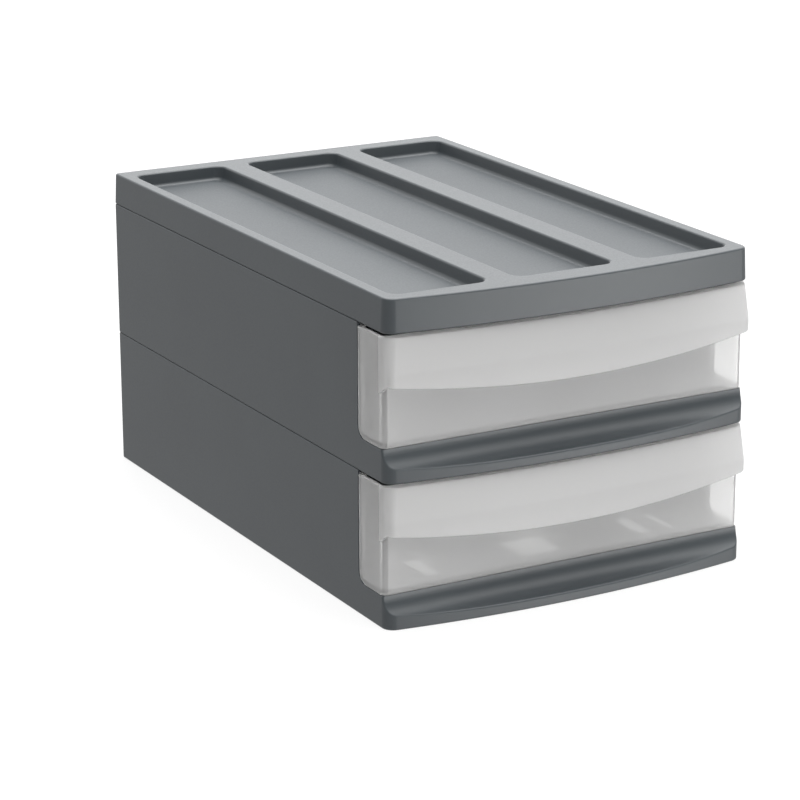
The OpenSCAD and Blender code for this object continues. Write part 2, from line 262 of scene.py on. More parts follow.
def plug(tree, socket, value):
    """Feeds a socket from another node's output, or gives it a fixed value."""
    if isinstance(value, bpy.types.NodeSocket):
        tree.links.new(value, socket)
    else:
        socket.default_value = value


def new_material(name):
    """A material, its node tree and Principled shader, and a function that adds a node with its inputs."""
    material = bpy.data.materials.new(name)
    material.use_nodes = True
    tree = material.node_tree

    def add(kind, **inputs):
        node = tree.nodes.new(kind)
        for key, value in inputs.items():
            plug(tree, node.inputs[key.replace("_", " ")], value)
        return node

    return material, tree, tree.nodes["Principled BSDF"], add


def grain(add, scale, low, high):
    """A noise pattern on Object coordinates, spread from a low to a high value."""
    place = add("ShaderNodeTexCoord").outputs["Object"]
    noise = add("ShaderNodeTexNoise", Vector=place, Scale=scale, Detail=noise_detail).outputs["Fac"]
    spread = add("ShaderNodeMapRange", Value=noise, From_Min=noise_low, From_Max=noise_high,
                 To_Min=low, To_Max=high)
    return spread.outputs["Result"]


def bumps(add, strength, depth, scale):
    """Normals of a surface with noise bumps of a depth in millimetres."""
    height = grain(add, scale, 0.0, 1.0)
    return add("ShaderNodeBump", Strength=strength, Distance=depth * MM, Height=height).outputs["Normal"]


def show_mixed(tree, share, first, second):
    """Shows two shaders on the surface, of which the second has the given share."""
    blend = tree.nodes.new("ShaderNodeMixShader")
    for socket, value in zip(blend.inputs, (share, first.outputs[0], second.outputs[0])):
        plug(tree, socket, value)
    plug(tree, tree.nodes["Material Output"].inputs["Surface"], blend.outputs[0])


# %% Grey plastic
darker_grey, paler_grey = (0.052, 0.060, 0.066, 1), (0.057, 0.066, 0.072, 1)
grey_ior = 1.5
grey_bump_strength, grey_bump_depth = 0.12, 0.04
drift_scale, gloss_scale, bump_scale = 14.0, 900.0, 2600.0


def make_grey(name, smooth, rough):
    """Satin dark grey: the roughness varies between two values, and the tone drifts slowly."""
    material, tree, shader, add = new_material(name)
    tone = add("ShaderNodeMix", Factor=grain(add, drift_scale, 0.0, 1.0))
    tone.data_type = "RGBA"
    first, second, mixed = tone.inputs[6], tone.inputs[7], tone.outputs[2]
    plug(tree, first, darker_grey)
    plug(tree, second, paler_grey)
    plug(tree, shader.inputs["Base Color"], mixed)
    plug(tree, shader.inputs["Roughness"], grain(add, gloss_scale, smooth, rough))
    plug(tree, shader.inputs["IOR"], grey_ior)
    plug(tree, shader.inputs["Normal"], bumps(add, grey_bump_strength, grey_bump_depth, bump_scale))
    return material


grey_plastic = make_grey("grey_plastic", smooth=0.33, rough=0.40)
etched_grey = make_grey("etched_grey_plastic", smooth=0.44, rough=0.52)
print("grey plastics:", grey_plastic.name, "and", etched_grey.name)

# %% [markdown]
# The drawers are a clear plastic that is a little milky. Part of the light goes straight through each skin
# of a wall, part comes through scattered, and the rest is turned back by the milk. On the outer face of the
# handle band the mould is etched, so that it looks frosted. The band's flat top is ground: it scatters
# nearly all that it lets through, which makes it glow a little.

# %% Drawer plastics
milk_tint = (1.0, 0.998, 0.995)
drawer_ior = 1.49
clear_spread, rough_spread = 0.02, 0.08
cloud_scale, polish_scale, etch_scale = 9.0, 700.0, 1800.0
etch_depth = 0.03


def make_drawer_plastic(name, milk, clear, through, roughness, etch=0.0):
    """A skin that is clear for one share, lets another through scattered, and is milk for the rest.

    The share that comes through scattered is a translucent lobe, mixed over a Principled shader whose
    transmission weight is the clear share. Both shares and the roughness vary a little from place to place.
    """
    material, tree, shader, add = new_material(name)
    colour = (*(milk * tint for tint in milk_tint), 1)
    plug(tree, shader.inputs["Base Color"], colour)
    plug(tree, shader.inputs["IOR"], drawer_ior)
    cloud = grain(add, cloud_scale, clear - clear_spread, clear + clear_spread)
    plug(tree, shader.inputs["Transmission Weight"], cloud)
    gloss = grain(add, polish_scale, roughness * (1 - rough_spread), roughness * (1 + rough_spread))
    plug(tree, shader.inputs["Roughness"], gloss)
    if etch:
        plug(tree, shader.inputs["Normal"], bumps(add, etch, etch_depth, etch_scale))
    show_mixed(tree, through, shader, add("ShaderNodeBsdfTranslucent", Color=colour))
    return material


drawer_plastics = (
    make_drawer_plastic("clear_plastic", milk=0.97, clear=0.80, through=0.17, roughness=0.004),
    make_drawer_plastic("frosted_plastic", milk=0.78, clear=0.40, through=0.22, roughness=0.42, etch=0.2),
    make_drawer_plastic("ground_rim_plastic", milk=0.90, clear=0.30, through=0.80, roughness=0.40, etch=0.1),
)
CLEAR, FROSTED, GROUND = range(3)
print("drawer plastics:", ", ".join(material.name for material in drawer_plastics))

# %% [markdown]
# ## The cover
# The cover is a shallow tray turned over: its skirt leans in a little so that it leaves the mould, and three
# long troughs are sunk into its top for pens and rulers. The skirt and each trough are one rounded profile
# carried round an outline. The flat top is filled between them, and the underside is made the same way one
# wall thickness lower. All pieces but the drawers share the outline, with its bowed front.

# %% Outline of the stack
front_corner_x = half_w - front_corner_r
bow_y = crown_y + bow_r
front_corner_y = bow_y - math.sqrt((bow_r - front_corner_r) ** 2 - front_corner_x ** 2)
bow_deg = math.degrees(math.asin(front_corner_x / (bow_r - front_corner_r)))
rear_corner_x, rear_corner_y = half_w - rear_corner_r, rear_y - rear_corner_r
stack_arcs = [
    (0, bow_y, bow_r, -bow_deg, bow_deg, 64),
    (front_corner_x, front_corner_y, front_corner_r, bow_deg, 90, 12),
    (rear_corner_x, rear_corner_y, rear_corner_r, 90, 180, 8),
    (-rear_corner_x, rear_corner_y, rear_corner_r, 180, 270, 8),
    (-front_corner_x, front_corner_y, front_corner_r, 270, 360 - bow_deg, 12),
]
print(f"the front turns {bow_deg:.1f} degrees to each side before its corners")

# %% Sizes of the cover
cover_z = 2 * housing_h
cover_top = cover_z + cover_h
ceiling_z = cover_top - wall
cover_draft = 0.9
skirt_foot_h, lower_chamfer = 4.3, 0.8
# A run is how far a profile goes on over a flat face, before the fill takes over.
top_run, ceiling_run = 6.0, 8.0
skirt_radii = (1.3, 0.5, 0.3, 0.4, 0, 1.0)
trough_depth, trough_draft = 9.4, 2.0
trough_corner_r, trough_rim_r, trough_foot_r = 8.0, 1.6, 3.2
under_rim_r, under_foot_r = 1.0, 4.5
# The runs of a trough's rim and floor, each as (inside, underside).
rim_run, floor_run = (2.5, 5.0), (6.5, 5.5)
trough_y = (crown_y + 19.0, rear_y - 14.5)
middle_trough_x = (-34.7, 34.7)
right_trough_x = (52.9, half_w - 9.3)
left_trough_x = (-right_trough_x[1], -right_trough_x[0])
trough_floor_z = cover_top - trough_depth
print(f"cover from z {cover_z:.0f} to {cover_top:.0f}, trough floors at z {trough_floor_z:.1f}")


# %% Cover
def skirt_profile():
    """Top edge, leaning side, foot and inside of the wall, as rounded (inset, height) levels."""
    corners = [
        (top_run, cover_top), (cover_draft, cover_top),
        (0, cover_z + lower_chamfer), (lower_chamfer, cover_z),
        (wall, cover_z), (wall, cover_z + skirt_foot_h),
        (wall + cover_draft, ceiling_z), (ceiling_run, ceiling_z),
    ]
    return rounded(corners, skirt_radii)


def trough_grids(x):
    """A trough's inside, and its outside one wall away, as levels of one rounded rectangle."""
    arcs = rectangle(x, trough_y, (trough_corner_r, trough_corner_r), 12)
    lean = trough_draft / trough_depth * wall
    under_z = trough_floor_z - wall
    inside = [
        (-rim_run[0], cover_top), (0, cover_top),
        (trough_draft, trough_floor_z), (floor_run[0], trough_floor_z),
    ]
    outside = [
        (-rim_run[1], ceiling_z), (lean - wall, ceiling_z),
        (trough_draft - wall, under_z), (floor_run[1], under_z),
    ]
    return [
        lift(arcs, rounded(inside, [trough_rim_r, trough_foot_r], 8)),
        lift(arcs, rounded(outside, [under_rim_r, under_foot_r], 8)),
    ]


def make_cover():
    """The skirt, three troughs and their undersides as lifted outlines, joined by flat faces."""
    grids = [lift(stack_arcs, skirt_profile())]
    for x in (middle_trough_x, right_trough_x, left_trough_x):
        grids += trough_grids(x)
    flats = [(2, z) for z in (cover_top, ceiling_z, trough_floor_z, trough_floor_z - wall)]
    piece = skin("top_cover_moulding", grids, flats)
    finish_edges(piece)
    centre, normal = face_places(piece)
    etched = (normal[:, 2] > 0.9) & (abs(centre[:, 2] - trough_floor_z) < 0.3)
    piece.data.materials.append(grey_plastic)
    piece.data.materials.append(etched_grey)
    piece.data.polygons.foreach_set("material_index", etched.astype(np.int32))
    return piece


cover = make_cover()
report(cover)

# %% [markdown]
# ## Joining and cutting
# A moulding is drawn as the steel sees it: full forms are added, and the cores that leave the hollows are
# taken away. The cuts are exact booleans, made once, and the result is stored as plain mesh. Two plastics
# can meet in one moulding, because each form keeps the material number that it was drawn with. Where a core
# opens a side of the form, it reaches well beyond that side.

# %% Blocks and bars
least_edge_r, spare_r = 0.05, 0.02


def cube(name, x, y, z, radii=(0.0, 0.0), foot=0.0, top=0.0):
    """A block between two places along each axis, its upright, lower and upper edges rounded."""
    deep = min(x[1] - x[0], y[1] - y[0]) / 4
    levels = rounded([(deep, z[0]), (0, z[0]), (0, z[1]), (deep, z[1])], [foot, top])
    corner_radii = [max(radius, foot, top, least_edge_r) + spare_r for radius in radii]
    return skin(name, [lift(rectangle(x, y, corner_radii, 5), levels)], [(2, z[0]), (2, z[1])])


def across(name, loop, x):
    """A bar: a closed outline of (y, z) points carried from one x to another."""
    loop = np.array(loop, float)
    grid = np.stack([np.column_stack([np.full(len(loop), side), loop]) for side in x])
    return skin(name, [grid], [(0, x[0]), (0, x[1])])


# %% Booleans
def combine(base, joined=(), cut=()):
    """The base with some forms joined to it and others cut out of it, stored as one plain mesh."""
    for operation, tools in (("UNION", joined), ("DIFFERENCE", cut)):
        for tool in tools:
            step = base.modifiers.new(tool.name, "BOOLEAN")
            step.operation = operation
            step.solver = "EXACT"
            step.object = tool
    ready = base.evaluated_get(bpy.context.evaluated_depsgraph_get())
    base.data = bpy.data.meshes.new_from_object(ready)
    base.modifiers.clear()
    for tool in (*joined, *cut):
        bpy.data.objects.remove(tool)
    return base


def tidy(piece, flat_deg=0.2):
    """Merges the doubles that cuts leave, and dissolves the cuts' lines within flat faces."""
    bm = bmesh.new()
    bm.from_mesh(piece.data)
    bmesh.ops.remove_doubles(bm, verts=bm.verts, dist=weld * MM)
    bmesh.ops.dissolve_limit(bm, angle_limit=math.radians(flat_deg), verts=bm.verts, edges=bm.edges,
                             delimit={"MATERIAL"})
    bmesh.ops.recalc_face_normals(bm, faces=bm.faces)
    bm.to_mesh(piece.data)
    bm.free()
    return piece


def moved_copy(piece, name, z):
    """A second moulding from the same form, higher up."""
    twin = bpy.data.objects.new(name, piece.data.copy())
    bpy.context.scene.collection.objects.link(twin)
    twin.data.transform(Matrix.Translation((0, 0, z * MM)))
    return twin


# %% [markdown]
# ## The drawers
# Each drawer is one thin-walled tray. Behind the side cut-outs it is narrow enough for the housing; in front
# it takes the full width, and there its rear face rounds under in a heel. The front part is a rounded
# rectangle whose rear edge moves with the height, so one function gives both the full form and, one wall
# smaller, its hollow.

# %% Sizes of a drawer
panel_y = crown_y + 15.0
front_rear_y = crown_y + 44.5
tray_rear_y = rear_y - 9.0
tray_x = half_w - wall - 0.5
drawer_wall = 2.0
drawer_low, floor_low, floor_top = 20.8, 22.0, 24.0
drawer_top = housing_h - 2.1
heel_r = 7.5
panel_corner_r, least_corner_r = 4.2, 0.62
rim_r = 0.6
rim_curve = ((0.0, rim_r), (0.08, 0.3), (0.3, 0.08), (rim_r, 0.0))
foot_curve = ((0.5, 0.0), (0.15, 0.15))
print(f"drawer from z {drawer_low:.1f} to {drawer_top:.1f}, from y {panel_y:.1f} to {tray_rear_y:.1f}")

# %% Front part of a drawer
# Drops below the heel's centre at which there is a level, finer near the centre's height.
heel_drops = (5.3, 4.0, 2.8, 1.8, 1.0, 0.5, 0.2, 0.05, 0.0)


def front_block(name, inset, foot, head):
    """The full-width front part, drawn in by an inset, between (edge inset, height) levels at foot and head.

    Where a level lies a drop below the heel's centre, its rear edge is at the centre's y plus the square
    root of the heel's radius squared less the drop squared.
    """
    heel_y, heel_z = front_rear_y - heel_r, drawer_low + heel_r
    radius = heel_r - inset
    heel = [(0, heel_z - drop) for drop in heel_drops if heel_z - drop > foot[-1][1]]
    loops = []
    for edge, z in (*foot, *heel, *head):
        drop = max(heel_z - z, 0.0)
        rear = heel_y + math.sqrt(max(radius ** 2 - drop ** 2, 0.0))
        corner_radii = (max(panel_corner_r - inset, least_corner_r), least_corner_r)
        arcs = rectangle((inset - half_w, half_w - inset), (panel_y + inset, rear), corner_radii)
        loops.append(at_height(outline(arcs, edge), z))
    return skin(name, [np.stack(loops)], [(2, foot[0][1]), (2, head[-1][1])])


# %% [markdown]
# ## The handle band
# A bowed band hangs from the drawer's rim in front of the panel as the handle, with a flat top, an open back
# and a lower edge that curves up to the sides. Above a crease the band leans back a little, and its corners
# grow rounder. The band is drawn as a cup turned over, whose outline changes with the height, and the
# tray's hollow later cuts the back of the cup away. The crease is eased, so that it catches a soft light.

# %% Sizes of the band
band_r = 1160.0
crease_z, crease_ease = drawer_top - 21.4, 1.2
lean = 3.4
crease_corner_r, top_corner_r = 5.0, 8.0
band_edge_z, band_edge_r = drawer_top - 38.4, 880.0
curl_y, curl_z, curl_r = panel_y - 6.5, drawer_top - 35.6, 6.5
band_back_y = panel_y + 6.0
joint_z = crease_z - 4.5
edge_r = 0.7
outer_edge = [(0, edge_r), (0.1, 0.33), (0.33, 0.1), (edge_r, 0)]
edge_curve = outer_edge + [(drawer_wall - inset, rise) for inset, rise in outer_edge[::-1]]
# Heights above the crease at which there is a level, closer together where the crease turns.
crease_steps = (-2.5, -1.1, -0.7, -0.3, 0.0, 0.3, 0.7, 1.1, 2.5, 7.5, 12.5, 17.5)
print(f"band from z {band_edge_z:.1f} in the middle to {drawer_top:.1f}, crease at z {crease_z:.1f}")


# %% Outline and lower edge of the band
def band_outline(share, inset):
    """The band's outline at a share of the way from its crease to its top, drawn in by an inset."""
    radius = crease_corner_r + (top_corner_r - crease_corner_r) * share
    x = half_w - radius
    centre_y = crown_y + band_r
    y = centre_y - math.sqrt((band_r - radius) ** 2 - x ** 2)
    turn = math.degrees(math.asin(x / (band_r - radius)))
    back = max(inset, 0.3) + 0.7
    arcs = [
        (0, centre_y + lean * share, band_r, -turn, turn, 72),
        (x, y + lean * share, radius, turn, 90, 16),
        (half_w - back, band_back_y - back, back, 90, 180, 3),
        (back - half_w, band_back_y - back, back, 180, 270, 3),
        (-x, y + lean * share, radius, 270, 360 - turn, 16),
    ]
    return outline(arcs, inset)


def band_low(loop):
    """Height of the band's lower edge along an outline: a shallow arch, curling down at both sides.

    The arch is a circle of the edge's radius about a point far above, and the curl a quarter circle behind
    the front corner. Behind the place where the curl starts, the lower of the two counts.
    """
    x, y = loop[:, 0], loop[:, 1]
    arch = band_edge_z + band_edge_r - np.sqrt(band_edge_r ** 2 - x ** 2)
    curl = curl_z + np.sqrt(np.clip(curl_r ** 2 - np.clip(y - curl_y, 0, curl_r) ** 2, 0, None))
    return np.where(y > curl_y, np.minimum(arch, curl), arch)


def crease_share(z):
    """Share of the way from the crease to the top at a height, eased by a parabola about the crease."""
    gap = z - crease_z
    if abs(gap) < crease_ease:
        gap = (gap + crease_ease) ** 2 / (4 * crease_ease)
    return min(max(gap / (drawer_top - crease_z), 0.0), 1.0)


# %% Handle band
def make_band():
    """The band as a cup turned over: rim, outer wall, rounded lower edge, inner wall, and two flat tops."""
    low = band_low(band_outline(0.0, 0.0))
    rise = joint_z - low - edge_r
    ceiling = drawer_top - drawer_wall
    heights = [crease_z + step for step in crease_steps]

    def ring(inset, z):
        return at_height(band_outline(crease_share(z), inset), z)

    def apron(inset, z):
        return at_height(band_outline(0.0, inset), z)

    rows = [ring(inset, drawer_top - drop) for inset, drop in rim_curve[::-1]]
    rows += [ring(0, z) for z in heights[::-1]]
    rows += [apron(0, low + edge_r + share * rise) for share in (1.0, 0.66, 0.33)]
    rows += [apron(inset, low + height) for inset, height in edge_curve]
    rows += [apron(drawer_wall, low + edge_r + share * rise) for share in (0.33, 0.66, 1.0)]
    rows += [ring(drawer_wall, z) for z in heights]
    rows += [ring(drawer_wall + inset, ceiling - drop) for inset, drop in ((0, 1), (0.3, 0.3), (1, 0))]
    return skin("band", [np.stack(rows)], [(2, drawer_top), (2, ceiling)])


# %% [markdown]
# ## One drawer moulding
# Tray, front part and band are joined, and the hollows are cut out. The etching of the mould covers only the
# band's outer face, and its back comes from polished steel, so the faces that look inwards or down turn
# clear again. Two runners carry the drawer on the housing's rails, and two stops meet the front lip when the
# drawer is pulled out.

# %% Sizes of the tray
tray_radii, tray_foot_r = (3.0, 5.0), 2.5
hollow_radii, hollow_foot_r = (1.2, 3.0), 2.0
# The hollow's upper edge leans out by the flare, from a drop below the rim to a little over it.
flare, flare_drop, flare_r = 1.5, 0.5, 0.3
flat_run = 8.0
over_rim = 1.0
runner_x, runner_y = (104.0, 106.0), (panel_y + 2.5, tray_rear_y - 5.0)
stop_x, stop_y, stop_z = (35.0, 55.0), (114.5, 117.5), 17.2
foot_root = 0.4
look_y = crown_y + 60.0
steep = 0.7
print(f"runners {runner_y[1] - runner_y[0]:.0f} mm long, stops {floor_low - stop_z:.1f} mm deep")


# %% Plastics of a drawer
def give_plastic(form, index):
    """Gives a form the drawer's plastics, and all its faces one of them."""
    for material in drawer_plastics:
        form.data.materials.append(material)
    form.data.polygons.foreach_set("material_index", np.full(len(form.data.polygons), index, np.int32))


def polish(piece):
    """Leaves the frosting on the band's outer face, and grinds its flat top.

    A face looks inwards where its normal leans towards a point on the middle line, behind the front part.
    """
    centre, normal = face_places(piece)
    index = np.zeros(len(centre), np.int32)
    piece.data.polygons.foreach_get("material_index", index)
    away = centre[:, :2] - (0, look_y)
    inwards = np.sum(normal[:, :2] * away, axis=1) < 0
    index[(index == FROSTED) & (inwards | (normal[:, 2] < -steep))] = CLEAR
    on_rim = (centre[:, 2] > drawer_top - rim_r) & (centre[:, 1] < panel_y + drawer_wall)
    index[on_rim & (normal[:, 2] > steep)] = GROUND
    piece.data.polygons.foreach_set("material_index", index)


# %% A drawer's tray
def make_tray(name):
    """The narrow part as a full block, its lower and upper edges rounded."""
    corners = [(flat_run, floor_low), (0, floor_low), (0, drawer_top), (flat_run, drawer_top)]
    arcs = rectangle((-tray_x, tray_x), (panel_y + 1, tray_rear_y), tray_radii, 8)
    grid = lift(arcs, rounded(corners, [tray_foot_r, rim_r]))
    return skin(name, [grid], [(2, floor_low), (2, drawer_top)])


def make_hollow():
    """The inside of the narrow part, one wall smaller, whose upper edge flares out beyond the rim."""
    top = drawer_top + over_rim
    corners = [(flat_run, floor_top), (0, floor_top), (0, drawer_top - flare_drop), (-flare, top)]
    x, y = tray_x - drawer_wall, (panel_y + drawer_wall, tray_rear_y - drawer_wall)
    grid = lift(rectangle((-x, x), y, hollow_radii, 8), rounded(corners, [hollow_foot_r, flare_r]))
    return skin("hollow", [grid], [(2, floor_top), (2, top)])


def make_feet():
    """Runners and stops under the floor, on both sides."""
    feet = []
    top = floor_low + foot_root
    for side in (-1, 1):
        for name, x, y, low in (("runner", runner_x, runner_y, drawer_low), ("stop", stop_x, stop_y, stop_z)):
            feet.append(cube(name, sorted((side * x[0], side * x[1])), y, (low, top), radii=(0.3, 0.3)))
    return feet


# %% Drawers
def make_drawer(name):
    """Tray, front part and band joined, the hollows cut out, and the runners and stops added."""
    foot = [(inset, drawer_low + rise) for inset, rise in foot_curve]
    rim = [(inset, drawer_top - drop) for inset, drop in rim_curve]
    x, y = half_w - drawer_wall, (panel_y + drawer_wall, front_rear_y - drawer_wall)
    tray, band, hollow = make_tray(name), make_band(), make_hollow()
    front = front_block("front", 0.0, foot, rim)
    wide_hollow = front_block("wide_hollow", drawer_wall, [(0, floor_top)], [(0, drawer_top + over_rim)])
    under = cube("under", (-x, x), y, (drawer_low - 2, floor_low), radii=(0.5, 0.5))
    for form in (tray, front, hollow, wide_hollow, under):
        give_plastic(form, CLEAR)
    give_plastic(band, FROSTED)
    tidy(combine(tray, (front, band), (hollow, wide_hollow, under)))
    polish(tray)
    return tidy(combine(tray, make_feet()))


lower_drawer = make_drawer("lower_drawer_moulding")
upper_drawer = moved_copy(lower_drawer, "upper_drawer_moulding", housing_h)
for piece in (lower_drawer, upper_drawer):
    finish_edges(piece)
    report(piece)

# %% [markdown]
# ## The housings
# Both housings come from one mould. The sides are cut away at the front, where the drawer shows, and the
# front lip is hollowed by a long scoop, as if a roller had been pressed into it. The bowed front wall leaves
# less of the lip at the corners, so the roller runs out there. Inside are a deck with windows, a rail along
# each side, and tabs that keep the next piece in line.

# %% Sizes of a housing
beyond = 5.0
lip_h, deck_h, deck_low = 20.5, 16.0, 14.0
recess_depth = 1.5
recess_z = (14.5, housing_h - 13.5)
inner_x, inner_rear_y = half_w - wall, rear_y - recess_depth - wall
cutout_y, cutout_r = crown_y + 45.0, 8.0
rim_front_y = panel_y + 0.5
rim_back_y = rim_front_y + wall
rail_x = half_w - 25.5
window_y = (crown_y + 42.0, crown_y + 74.0)
middle_window_x = (-15.5, 15.5)
side_windows_x = ((71.0, 83.5), (93.5, 101.0))
print(f"lip {lip_h:.1f} mm and deck {deck_h:.1f} mm high, inside {2 * inner_x:.1f} mm wide")

# %% The scoop's roller
scoop_r = 15.0
scoop_y, scoop_z = rim_front_y - scoop_r, lip_h + 1.0


def make_roller(name, grow):
    """The roller that hollows the lip: a circle about an axis across the front, grown by an amount."""
    turn = np.linspace(0, 2 * math.pi, 97)[:-1]
    loop = np.column_stack([np.cos(turn), np.sin(turn)]) * (scoop_r + grow) + (scoop_y, scoop_z)
    return across(name, loop, (-half_w - beyond, half_w + beyond))


# %% [markdown]
# The lip's crest, where the scoop meets the bowed front wall, is a rounded edge. The angle between the two
# changes along it, and a bevel would run into trouble where they meet at a slant near the corners. So the
# crest is cut the way a ball-nosed cutter would do it: a ball rolls along the edge and touches both faces.

# %% The crest's cutter
crest_r = 1.7
poke = 0.02
crest_reach = 1.0


def make_crest():
    """What a ball takes off the lip's crest as it rolls along it, touching the front wall and the scoop.

    The ball's centre is one radius inside the wall and one radius outside the roller. Its section runs on a
    great circle from the touch on the wall to the touch on the roller, and closes over a point outside. The
    centre is drawn in by a radius less a small poke, so that the cut goes through both faces.
    """
    bow, right_corner, left_corner = stack_arcs[0], stack_arcs[1], stack_arcs[4]
    front = [left_corner, bow, right_corner]
    inset, reach = crest_r - poke, scoop_r + crest_r - poke
    centre_line = outline(front, inset)
    to_wall = (outline(front, 0.0) - centre_line) / inset
    right_end = np.array([[half_w - inset, scoop_y + reach]])
    centre_line = np.vstack([right_end * (-1, 1), centre_line, right_end])
    to_wall = np.pad(to_wall, ((1, 1), (0, 1)), "edge") * (1, 1, 0)
    step = centre_line[:, 1] - scoop_y
    drop = np.sqrt(np.clip(reach ** 2 - step ** 2, 0, None))
    centre = np.column_stack([centre_line, scoop_z - drop])[:, None]
    to_wall = to_wall[:, None]
    to_roller = np.column_stack([0 * step, -step, drop])[:, None] / reach
    angle = np.arccos(np.sum(to_wall * to_roller, axis=2))[..., None]
    t = np.linspace(0, 1, 9)[None, :, None]
    arc = (np.sin((1 - t) * angle) * to_wall + np.sin(t * angle) * to_roller) / np.sin(angle)
    outwards = (to_wall + to_roller) / (2 * np.cos(angle / 2))
    outside = centre + outwards * (crest_r / np.cos(angle / 2) + crest_reach)
    return skin("crest", [np.concatenate([centre + crest_r * arc, outside], axis=1)], [(2, scoop_z)])


# %% Cores of a housing
def make_opening():
    """The bar that clears the front above the lip, with a rounded lower corner at its back."""
    turn = np.radians(np.linspace(0, 90, 9))
    corner_y = cutout_y - cutout_r + cutout_r * np.sin(turn)
    corner_z = lip_h + cutout_r - cutout_r * np.cos(turn)
    front_y, top_z = crown_y - beyond, housing_h + beyond
    loop = [(front_y, lip_h), *zip(corner_y, corner_z), (cutout_y, top_z), (front_y, top_z)]
    return across("opening", loop, (-half_w - beyond, half_w + beyond))


def make_underside():
    """The hollow below the deck: the outline one wall in, kept clear of the scoop and of the rear wall."""
    low, top = -beyond, deck_low
    hollow = skin("hollow", [lift(stack_arcs, [(wall, low), (wall, top)])], [(2, low), (2, top)])
    behind = cube("behind", (-half_w, half_w), (inner_rear_y, rear_y + beyond),
                  (low - 1, top + 1), radii=(0.5, 0.5))
    return combine(hollow, (), (make_roller("grown_roller", wall), behind))


def make_recess():
    """The shallow field in the rear wall, with slopes of 45 degrees above and below."""
    past = 1.0
    low, high = recess_z
    slope = recess_depth + past
    loop = [
        (rear_y + past, low - slope), (rear_y - recess_depth, low),
        (rear_y - recess_depth, high), (rear_y + past, high + slope),
    ]
    return across("recess", loop, (-half_w - beyond, half_w + beyond))


def make_bays():
    """The room for the drawer: down to the deck between the rails, and to the lip's height over them."""
    y, top_z = (rim_back_y, inner_rear_y), housing_h + beyond
    return [
        cube("bay", (-rail_x, rail_x), y, (deck_h, top_z), radii=(1.5, 1.5), foot=1.0),
        cube("upper_bay", (-inner_x, inner_x), y, (lip_h, top_z), radii=(0.5, 1.5), foot=0.4),
    ]


def make_rails_and_windows():
    """The hollows under the two rails, and the deck's windows."""
    cores = []
    slots = [middle_window_x]
    y, z = (rim_back_y + wall, inner_rear_y), (-beyond, lip_h - wall)
    for side in (-1, 1):
        rail = sorted((side * (rail_x + wall), side * inner_x))
        cores.append(cube("rail_hollow", rail, y, z, radii=(1, 1)))
        slots += [sorted((side * near, side * far)) for near, far in side_windows_x]
    z = (deck_low - beyond, deck_h + beyond)
    return cores + [cube("window", x, window_y, z, radii=(0.8, 0.8)) for x in slots]


# %% Tabs of a housing
tab_gap, tab_w, tab_len, tab_edge_r = 0.3, 1.8, 40.0, 0.3
# A root starts within its tab and ends within the wall, measured from the wall's inner face.
root_end, side_root_x, rear_root_y = 0.4, (-1.8, 1.1), (-1.7, 1.5)
tab_z = (housing_h - 1.5, housing_h + 4.0)
root_z = (housing_h - 1.3, housing_h - 0.5)
side_tabs_y, rear_tab_x = (-79.0, 118.5), 50.1


def make_tabs():
    """Tabs that stand up inside the rim and keep the next piece in line, with the roots that hold them."""
    edges = (tab_edge_r, tab_edge_r)
    near, far = tab_gap + tab_w, tab_gap
    tabs = []
    for side in (-1, 1):
        x = sorted((side * (inner_x - near), side * (inner_x - far)))
        root_x = sorted(side * (inner_x + reach) for reach in side_root_x)
        for y in side_tabs_y:
            tabs.append(cube("tab", x, (y, y + tab_len), tab_z, edges, top=tab_edge_r))
            tabs.append(cube("root", root_x, (y + root_end, y + tab_len - root_end), root_z, edges))
        x = sorted((side * rear_tab_x, side * (rear_tab_x + tab_len)))
        tabs.append(cube("tab", x, (inner_rear_y - near, inner_rear_y - far), tab_z, edges, top=tab_edge_r))
        root_y = [inner_rear_y + reach for reach in rear_root_y]
        tabs.append(cube("root", (x[0] + root_end, x[1] - root_end), root_y, root_z, edges))
    return tabs


# %% [markdown]
# ## One housing moulding
# The outer form is the stack's outline with small chamfers below and above. It loses the cores in turn, and
# the tabs are joined on. What the cuts leave sharp is softened by a hair's breadth with a bevel, because no
# moulded edge is quite sharp, and such an edge catches a thin line of light.

# %% Housings
hair = 0.3
foot_chamfer, top_chamfer, shell_run = 0.8, 0.5, 6.0
shell_radii = (0.5, 0.6, 0.4, 0.4)


def make_housing(name):
    """The outer form, less the bay, the front opening, the scoop, the underside, rails and windows."""
    corners = [
        (shell_run, 0), (foot_chamfer, 0), (0, foot_chamfer),
        (0, housing_h - top_chamfer), (top_chamfer, housing_h), (shell_run, housing_h),
    ]
    shell = lift(stack_arcs, rounded(corners, shell_radii, 4))
    form = skin(name, [shell], [(2, 0), (2, housing_h)])
    cores = make_bays()
    cores += [make_opening(), make_roller("roller", 0), make_crest(), make_underside(), make_recess()]
    cores += make_rails_and_windows()
    tidy(combine(form, (), cores))
    return tidy(combine(form, make_tabs()))


def soften(piece, sharp_deg=28.0):
    """Rounds the sharp edges by a hair's breadth."""
    bevel = piece.modifiers.new("soft_edges", "BEVEL")
    bevel.limit_method = "ANGLE"
    bevel.angle_limit = math.radians(sharp_deg)
    bevel.width = hair * MM
    bevel.segments = 2


lower_housing = make_housing("lower_housing_moulding")
upper_housing = moved_copy(lower_housing, "upper_housing_moulding", housing_h)
for piece in (lower_housing, upper_housing):
    piece.data.materials.append(grey_plastic)
    soften(piece)
    finish_edges(piece)
    report(piece)
